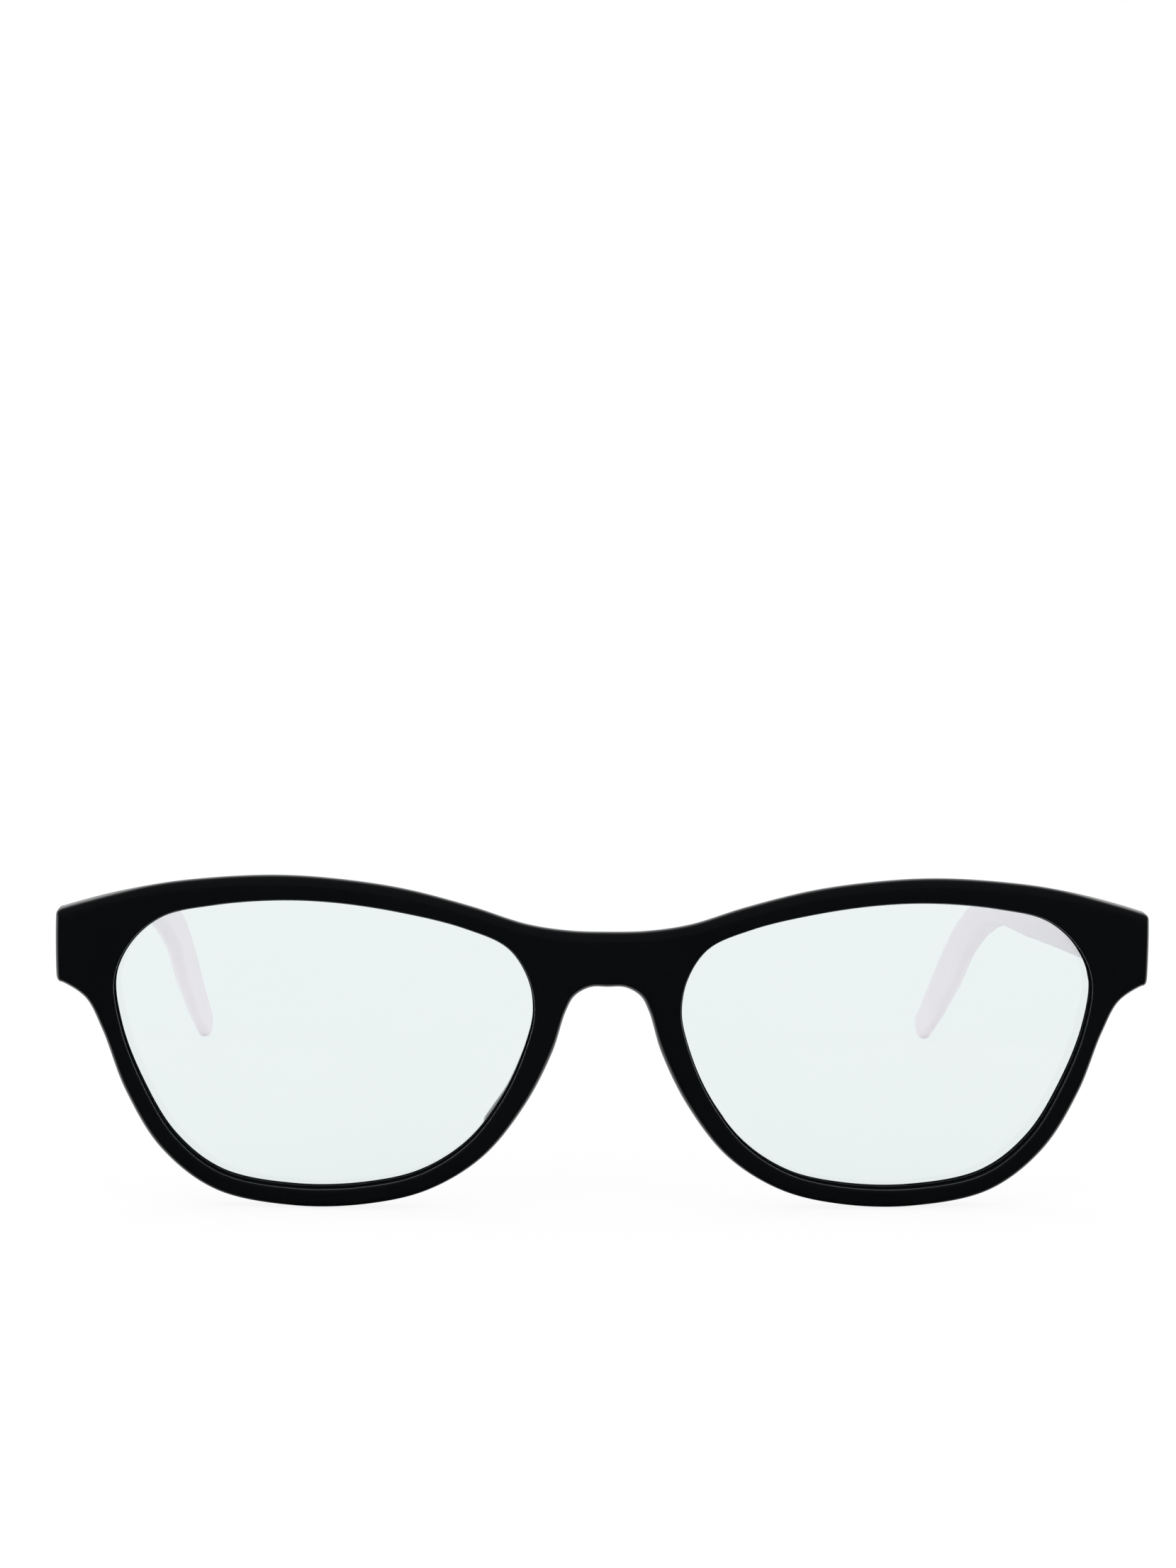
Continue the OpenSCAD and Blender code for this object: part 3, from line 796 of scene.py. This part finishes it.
def outer_wall(shell):
    """The rounded outer wall, as rings from the edge of the face to that of the back."""
    side = outward(outline)
    ends = end_share(outline[:, 0])
    rings = []
    for sizes, from_back, steps in (
        (face_round, False, quarter(round_steps)[::-1]), (back_round, True, quarter(round_steps)),
    ):
        across = mix(sizes[0], end_round, ends)
        for inset, drop in steps:
            path = outline - side * (across * inset)[:, None]
            depth = sizes[1] * drop
            if from_back:
                depth = front_t - mix(sizes[1], end_round, ends) * drop
            rings.append((path, shell.ring(path[:, 0], layer_y(path[:, 0], depth), path[:, 1])))
    shell.strips([numbers for _, numbers in rings])
    return rings


front_shell = Shell()
walls = [outer_wall(front_shell)]
print("rings round the front:", len(walls[0]))

# %% [markdown]
# The edge of each lens opening is just broken, with a gloss. Inside it runs the groove that
# holds the lens, and there the cutter's matte finish stays.

# %% Cut the walls of the openings
open_round = (0.3, 0.2)
groove_half = 0.44
groove_deep = 0.59


def inner_wall(shell, opening):
    """The wall of a lens opening: a glossy broken edge, and a matte wall with the groove."""
    middle = front_t / 2
    broken, eased = (
        [(r * inset, r * drop) for inset, drop in quarter(round_steps)] for r in open_round
    )
    cut = [
        (0, middle - groove_half), (groove_deep, middle - groove_half),
        (groove_deep, middle + groove_half), (0, middle + groove_half),
    ]
    profile = broken[::-1] + cut + [(grow, front_t - depth) for grow, depth in eased]
    out = outward(opening)
    rings = []
    for grow, depth in profile:
        path = opening + out * grow
        rings.append((path, shell.ring(path[:, 0], layer_y(path[:, 0], depth), path[:, 1])))
    numbers = [ring for _, ring in rings]
    first, last = round_steps - 1, round_steps + len(cut)
    shell.strips(numbers[:first + 1])
    shell.finish = 1
    shell.strips(numbers[first:last + 1])
    shell.finish = 0
    shell.strips(numbers[last:])
    return rings


walls += [inner_wall(front_shell, opening) for opening in (left_opening, right_opening)]
print("walls of the layer:", len(walls))

# %% [markdown]
# Between the walls the face and the back are filled, and the layer is a closed solid.

# %% Fill the face and the back
net_spacing = 1.0


def fill_layer(shell, loops, depth, spacing):
    """Fills the face or the back between the edges that bound it."""
    paths = [path for path, _ in loops]
    net = net_points(paths[0], paths[1:], spacing)
    numbers = sum([ring for _, ring in loops], [])
    numbers += shell.ring(net[:, 0], layer_y(net[:, 0], depth), net[:, 1])
    for t in fill_area(paths[0], paths[1:], net):
        shell.add(tuple(numbers[i] for i in t))


fill_layer(front_shell, [wall[0] for wall in walls], 0, net_spacing)
fill_layer(front_shell, [wall[-1] for wall in walls], front_t, net_spacing)
front = front_shell.solid("front_shaped", on_front, black_plastic, cut_plastic)
print("layer:", len(front.data.polygons), "faces")

# %% [markdown]
# Behind each end of the layer stands a block that reaches back to the arm. Towards the lens
# it ramps down to the rim, and it narrows to the arm's height, so that both are flush where
# they meet. It is drawn as rings round its section, from inside the layer to the flat that
# the arm closes against. That flat leans with the arm and not with the front. The lens
# opening goes on through the block, a hair wider than in the layer.

# %% Build the end blocks
arm_h = 8.0
butt_w = 6.4
butt_lip = 0.1
butt_round = 0.3
block_round = 0.7
overcut = 1.0
block_clear = 0.02
block_start = 2.6
block_levels = 14
butt_steps = 5
ramp_round = 0.5
rim_overlap = 0.4
opening_clear = 0.3


def rounded_rectangle(half_a, half_b, r, steps=6):
    """Points round a rectangle with quarter-circle corners."""
    points = []
    for quarter_turn in range(4):
        sign_a = 1 if quarter_turn in (0, 3) else -1
        sign_b = 1 if quarter_turn in (0, 1) else -1
        for k in range(steps):
            a = math.pi / 2 * (quarter_turn + k / (steps - 1))
            points.append((
                sign_a * (half_a - r) + r * math.cos(a), sign_b * (half_b - r) + r * math.sin(a),
            ))
    return np.array(points)


def soft_floor(value, width):
    """The value where it is above 0, and 0 below, with the corner between them rounded."""
    t = np.clip(0.5 + 0.5 * value / width, 0, 1)
    return value * t + width * t * (1 - t)


def build_end_block(mirror):
    shell = Shell()
    flat = axis_y + butt_y
    inner_x = end_x - butt_w - end_depth
    outer_x = end_x - block_clear
    rim_back = float(layer_y(end_x, front_t))
    first = float(layer_y(end_x, 0)) + block_start
    stations = [(y, 0) for y in np.linspace(first, flat - butt_round, block_levels)]
    stations += [
        (flat - butt_round * drop, butt_round * inset) for inset, drop in quarter(butt_steps)
    ]
    heights = (end_h / 2 - block_clear, arm_h / 2 + butt_lip)
    rings = []
    for y, shrink in stations:
        from_x = inner_x + soft_floor(y - (flat - end_depth), ramp_round)
        high = np.interp(y, (rim_back - rim_overlap, flat), heights)
        section = rounded_rectangle((outer_x - from_x) / 2 - shrink, high - shrink, block_round)
        x = (outer_x + from_x) / 2 + section[:, 0]
        z = end_z + section[:, 1]
        lean = smooth_step(y, first, flat - butt_round) * section[:, 1] * math.tan(front_tilt)
        rings.append(shell.ring(x * mirror, y + lean, z))
    shell.strips(rings)
    shell.fan(rings[0])
    shell.fan(rings[-1])
    return shell.solid("end_block", on_front, black_plastic)


def opening_tool(opening):
    """A solid through the block in the shape of a lens opening."""
    shell = Shell()
    path = opening + outward(opening) * opening_clear
    rings = [shell.ring(path[:, 0], y, path[:, 1]) for y in (-overcut, 2 * axis_y)]
    shell.strip(*rings)
    shell.fan(rings[0])
    shell.fan(rings[1])
    return shell.solid("opening_tool", on_front, cut_plastic)


for mirror, opening in ((1, left_opening), (-1, right_opening)):
    block = build_end_block(mirror)
    combine(block, opening_tool(opening), "DIFFERENCE")
    combine(front, block, "UNION")
print("with its end blocks:", len(front.data.polygons), "faces")

# %% [markdown]
# The hinge is let into both parts: the front leaf into the end block's flat, the arm leaf
# into the arm's inner face, and the barrel turns in a round notch at the arm's end. Each
# pocket is a plain box or cylinder a hair larger than the metal, cut away from the plastic.

# %% Cut the pockets of the front leaves
knuckle_h = 1.2
knuckle_gap = 0.05
leaf_t = 0.9
front_leaf_w = 3.4
seat_clearance = 0.03
plate_half = (5 * knuckle_h + 2 * knuckle_gap) / 2 + seat_clearance


def box_tool(low, high, mirror):
    """A box between two corners, given in the arms' drawing for the wearer's left."""
    shell = Shell()
    rings = []
    for y in (low[1], high[1]):
        x = [low[0], high[0], high[0], low[0]]
        z = [low[2], low[2], high[2], high[2]]
        rings.append(shell.ring(np.array(x) * mirror, y, z))
    shell.strip(*rings)
    shell.add(tuple(rings[0]))
    shell.add(tuple(rings[1]))
    return shell.solid("box_tool", standing, black_plastic)


for mirror in (1, -1):
    right_x = axis_x + barrel_r + seat_clearance
    left_x = right_x - front_leaf_w - 2 * seat_clearance
    low = (left_x, butt_y - leaf_t - seat_clearance, -plate_half)
    high = (right_x, butt_y + overcut, plate_half)
    combine(front, box_tool(low, high, mirror), "DIFFERENCE")
seat(front, "frame_front", "front_plastic", "front")

# %% [markdown]
# A lens is a disc cut to the opening's outline. A ridge round its edge sits in the rim's
# groove, its corners are ground off by a hair, and its two faces bulge forward together, as
# on any meniscus lens. The ridge and the edge are strips, and the faces are filled.

# %% Build the lenses
lens_t = 2.0
lens_gap = 0.04
ridge_h = 0.55
ridge_t = 0.8
lens_bulge = 0.45
lens_chamfer = 0.12
lens_spacing = 1.2


def bulge_y(x, z, depth, middle):
    """A lens face: the front's own curve, and a soft bulge towards its middle."""
    across = (x - middle[0]) / (opening_w * 0.5)
    up = (z - middle[1]) / (opening_h * 0.5)
    part = np.clip(1 - np.hypot(across, up), 0, 1)
    return layer_y(x, depth) - lens_bulge * part * (2 - part)


def build_lens(name, opening):
    shell = Shell()
    out = outward(opening)
    middle = (opening.min(axis=0) + opening.max(axis=0)) / 2
    near = front_t / 2 - lens_t / 2
    far = front_t / 2 + lens_t / 2
    ridge_near = front_t / 2 - ridge_t / 2
    ridge_far = front_t / 2 + ridge_t / 2
    profile = [
        (-lens_gap - lens_chamfer, near), (-lens_gap, near + lens_chamfer),
        (-lens_gap, ridge_near), (ridge_h, ridge_near), (ridge_h, ridge_far),
        (-lens_gap, ridge_far), (-lens_gap, far - lens_chamfer), (-lens_gap - lens_chamfer, far),
    ]
    rings = []
    for grow, depth in profile:
        path = opening + out * grow
        y = bulge_y(path[:, 0], path[:, 1], depth, middle)
        rings.append((path, shell.ring(path[:, 0], y, path[:, 1])))
    shell.finish = 1
    shell.strips([numbers for _, numbers in rings])
    shell.finish = 0
    for (path, numbers), depth in ((rings[0], near), (rings[-1], far)):
        net = net_points(path, [], lens_spacing)
        added = shell.ring(net[:, 0], bulge_y(net[:, 0], net[:, 1], depth, middle), net[:, 1])
        for t in fill_area(path, [], net):
            shell.add(tuple((numbers + added)[i] for i in t))
    made = shell.solid(name + "_shaped", on_front, clear_lens, ground_edge_painted_dark)
    seat(made, "frame_front", "lens", name, sharp=25)


build_lens("lens_left", left_opening)
build_lens("lens_right", right_opening)

# %% [markdown]
# The nose pads are fins moulded on the backs of the rims. Each runs down beside the nose and
# then away from it, highest in the middle. It is swept along that line with a rounded
# section that shrinks to nothing at both ends, and its root reaches into the rim, so no gap
# shows under it. A place on the line is a point of the opening and a share of the way to
# the next. A power below 1 makes the half-round section squarer.

# %% Build the nose pads
pad_w = 2.3
pad_depth = 4.6
pad_flare = 0.3
pad_inset = (rim_foot + rim_nose) / 4
pad_root = 0.6
pad_places = ((18, 0.45), (19, 0.1), (19, 0.95))
pad_step = 0.3
pad_sides = 17
pad_ends = (0.3, 0.6, 0.85, 0.97)
pad_least = 0.62
pad_swell = 0.38
swell_from = 0.12
swell_over = 0.8
square_across = 0.75
square_deep = 0.6


def rim_middle(i, t):
    direction = mix(opening_sides[i], opening_sides[i + 1], t)
    return mix(opening_points[i], opening_points[i + 1], t) + direction * pad_inset


def build_pad(name, mirror):
    steer = [rim_middle(i, t) for i, t in pad_places]
    before = steer[0] + (steer[0] - steer[1])
    after = steer[2] + (steer[2] - steer[1])
    line = open_curve([before, *steer, after], pad_step)
    along = np.gradient(line, axis=0)
    along /= np.linalg.norm(along, axis=1)[:, None]
    across = np.stack([-along[:, 1], along[:, 0]], axis=1)
    reach = np.concatenate([[0], np.cumsum(np.hypot(*np.diff(line, axis=0).T))])
    part = reach / reach[-1]
    half_turns = np.linspace(0, math.pi, pad_sides)
    u = np.cos(half_turns)
    v = np.sin(half_turns)
    shape_u = np.sign(u) * np.abs(u) ** square_across
    shape_v = v ** square_deep
    lean = pad_flare * shape_v
    stations = [(-past, 0) for past in pad_ends[::-1]]
    stations += [(0, i) for i in range(len(line))]
    stations += [(past, len(line) - 1) for past in pad_ends]
    shell = Shell()
    rings = []
    for past, i in stations:
        middle = line[i] + along[i] * past * pad_w / 2
        size = math.sqrt(1 - past ** 2)
        swell = math.sin(math.pi * (swell_from + swell_over * part[i]))
        tall = pad_depth * (pad_least + pad_swell * swell) * size
        width = pad_w / 2 * size
        root = float(layer_y(middle[0], front_t)) - pad_root
        x = middle[0] + across[i][0] * shape_u * width + lean
        z = middle[1] + across[i][1] * shape_u * width
        y = root + shape_v * (tall + pad_root)
        rings.append(shell.ring(x * mirror, y, z))
    shell.strips(rings)
    shell.fan(rings[0])
    shell.fan(rings[-1])
    made = shell.solid(name + "_shaped", on_front, black_plastic)
    seat(made, "frame_front", "front_plastic", name, sharp=60)


build_pad("nose_pad_left", 1)
build_pad("nose_pad_right", -1)

# %% [markdown]
# An arm is a long band whose height changes one way and whose thickness another. Seen from
# the side it runs straight, narrows, bends down behind the ear and widens again. Seen from
# above it leans inwards and thins towards its round tip. The two drawings are put together
# station by station, each with a ring of points in the shape of a rounded rectangle.

# %% Draw an arm from the side and from above
arm_len = 140.0
arm_run = 92.0
ear_angle = math.radians(30)
arm_neck = 5.0
ear_h = 7.0
tip_h = 5.0
bend_t = 3.4
tip_t = 2.2
arm_bow = 0.3
arm_in = 1.8
tip_in = 5.0
butt_clearance = 0.1
arm_round = 1.15
arm_leaf_l = 9.0
arm_step = 1.0

arm_front = butt_y + butt_clearance
ear_len = arm_len - arm_run
tip_r = tip_h / 2
tip_part = 1 - tip_r / ear_len


def ear(part, width):
    """A point along the ear end, which slopes down from the bend."""
    away = part * ear_len
    return (arm_run + away * math.cos(ear_angle), -away * math.sin(ear_angle), width)


arm_side = [
    (-arm_run / 4, 0, arm_h), (arm_front, 0, arm_h),
    (arm_run * 0.27, 0, mix(arm_h, arm_neck, 0.4)),
    (arm_run * 0.6, 0, mix(arm_h, arm_neck, 0.8)), (arm_run * 0.88, 0, arm_neck),
    ear(0.22, mix(arm_neck, ear_h, 0.4)), ear(0.5, ear_h), ear(0.75, mix(ear_h, tip_h, 0.3)),
    ear(tip_part, tip_h), ear(1.2, tip_r),
]
arm_mid = axis_x + axis_inset + arm_t / 2
tip_y = ear(1, 0)[0]
arm_plan = [
    (-arm_run / 4, arm_mid, arm_t), (arm_front, arm_mid, arm_t),
    (arm_run * 0.12, arm_mid + arm_bow * 0.2, arm_t),
    (arm_run * 0.6, arm_mid + arm_bow - arm_in * 0.4, mix(arm_t, bend_t, 0.6)),
    (arm_run, arm_mid - arm_in, bend_t),
    (mix(arm_run, tip_y, 0.5), arm_mid - mix(arm_in, tip_in, 0.45), mix(bend_t, tip_t, 0.5)),
    (tip_y, arm_mid - tip_in, tip_t), (mix(arm_run, tip_y, 1.3), arm_mid - tip_in * 1.5, tip_t),
]
side_line = open_curve(arm_side, arm_step)
plan_line = open_curve(arm_plan, arm_step)
print("points along an arm:", len(side_line), "from the side,", len(plan_line), "from above")

# %% [markdown]
# Each ring stands square to the arm's own line seen from the side. Its middle and its
# thickness are read from the drawing from above, at the place where each point lies. The
# barrel of the hinge turns in a round notch, which is cut with a cylinder.

# %% Draw a ring of an arm, and the notch for the barrel
barrel_sides = 48
most_round = 0.98


def arm_ring(shell, place, direction, half_h, shrink, r, thin, mirror):
    """A ring across the arm at a place on the line that it follows seen from the side."""
    up = np.array((-direction[1], direction[0]))
    half_t = np.interp(place[0], plan_line[:, 0], plan_line[:, 2]) / 2 * thin - shrink
    r = min(r, most_round * half_t, most_round * half_h)
    section = rounded_rectangle(half_t, half_h, r)
    y = place[0] + up[0] * section[:, 1]
    z = place[1] + up[1] * section[:, 1]
    middle = np.interp(y, plan_line[:, 0], plan_line[:, 1])
    return shell.ring(mirror * (middle + section[:, 0]), y, z)


def barrel_tool(mirror):
    """A cylinder about the hinge's axis, through the whole height of the arm."""
    shell = Shell()
    turns = np.linspace(0, 2 * math.pi, barrel_sides, endpoint=False)
    r = barrel_r + barrel_clearance
    x = mirror * (axis_x + r * np.cos(turns))
    rings = [shell.ring(x, r * np.sin(turns), z) for z in (-arm_h, arm_h)]
    shell.strip(*rings)
    shell.fan(rings[0])
    shell.fan(rings[1])
    return shell.solid("barrel_tool", standing, arm_plastic)


# %% [markdown]
# At the hinge the arm's end has a small eased edge, and along the arm the rounding grows to
# its full size. The ear end closes in a half circle. Then the notch and the recess for the
# leaf are cut out.

# %% Build the arms
mouth = ((0, 0.25, 0.35), (0.1, 0.08, 0.4))
mouth_end = 0.3
mouth_round = 0.45
round_full_at = 12.0
tip_rings = 10
tip_thin = 0.92


def build_arm(side, mirror):
    shell = Shell()
    rings = []
    along = np.gradient(side_line[:, :2], axis=0)
    along /= np.linalg.norm(along, axis=1)[:, None]
    stations = [(side_line[0] + (back, 0, 0), along[0], shrink, r) for back, shrink, r in mouth]
    for i in range(len(side_line)):
        place = side_line[i] + ((mouth_end, 0, 0) if i == 0 else (0, 0, 0))
        r = mix(mouth_round, arm_round, smooth_step(place[0], 0, round_full_at))
        stations.append((place, along[i], 0.0, r))
    for place, direction, shrink, r in stations:
        half_h = place[2] / 2 - shrink
        rings.append(arm_ring(shell, place, direction, half_h, shrink, r, 1.0, mirror))
    last, direction = side_line[-1], along[-1]
    for turn in np.linspace(0, math.pi / 2, tip_rings)[1:-1]:
        past = tip_r * math.sin(turn)
        place = last + np.append(direction * past, 0)
        half_h = tip_r * math.cos(turn)
        thin = math.sqrt(1 - (tip_thin * math.sin(turn)) ** 4)
        r = min(arm_round, half_h)
        rings.append(arm_ring(shell, place, direction, half_h, 0, r, thin, mirror))
    shell.strips(rings)
    shell.fan(rings[0])
    shell.fan(rings[-1])
    name = "arm_" + side
    made = shell.solid(name + "_shaped", standing, arm_plastic)
    combine(made, barrel_tool(mirror), "DIFFERENCE")
    inner_x = axis_x + axis_inset
    low = (inner_x - overcut, 0, -plate_half)
    leaf_end = barrel_r + barrel_clearance + arm_leaf_l + seat_clearance
    high = (inner_x + leaf_t + seat_clearance, leaf_end, plate_half)
    combine(made, box_tool(low, high, mirror), "DIFFERENCE")
    seat(made, side + "_arm", "arm_plastic", name, sharp=45)


build_arm("left", 1)
build_arm("right", -1)

# %% [markdown]
# The hinges, screws and core wires are right as the construction model has them, so they
# stay. Real metal parts have no razor edges, so a small bevel breaks them, and each gets
# its metal.

# %% Finish the metal pieces
weld_within = 0.002
bevel_over = math.radians(40)


def finish_metal(node, material, bevel):
    piece = frame["nodes"][node]
    piece.data.materials.clear()
    piece.data.materials.append(material)
    weld = piece.modifiers.new("weld", "WELD")
    weld.merge_threshold = weld_within * MM
    soften = piece.modifiers.new("soften", "BEVEL")
    soften.width = bevel * MM
    soften.segments = 2
    soften.limit_method = "ANGLE"
    soften.angle_limit = bevel_over


metal_pieces = (
    ("front_leaf_", nickel, 0.08), ("arm_leaf_", nickel, 0.08), ("hinge_screw_", steel, 0.05),
    ("leaf_screws_", steel, 0.04), ("core_wire_", wire_steel, 0.05),
)
for side in ("left", "right"):
    for kind, material, bevel in metal_pieces:
        finish_metal(kind + side, material, bevel)
print("metal pieces:", 2 * len(metal_pieces))
